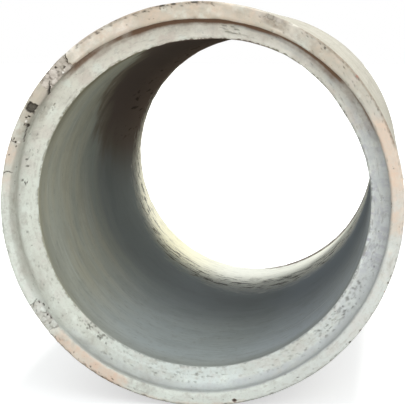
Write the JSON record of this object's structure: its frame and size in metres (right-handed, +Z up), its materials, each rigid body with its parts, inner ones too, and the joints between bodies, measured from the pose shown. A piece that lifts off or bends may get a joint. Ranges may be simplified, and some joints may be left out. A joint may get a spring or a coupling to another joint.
{
  "type": "concrete sewer pipe",
  "caption": "Round concrete sewer pipe lying on its side: plain bore, flush outer wall, a groove inside the wall at one end and a matching tongue at the other.",
  "frame": {"origin": "on the ground, under the middle of the pipe's length", "axes": "+Y along the pipe from its groove end to its tongue end, +Z up"},
  "size_m": [1.1998, 2.076, 1.1998],
  "materials": {
    "concrete": "matte"
  },
  "bodies": {
    "root": {"pipe": "concrete"}
  },
  "joints": []
}
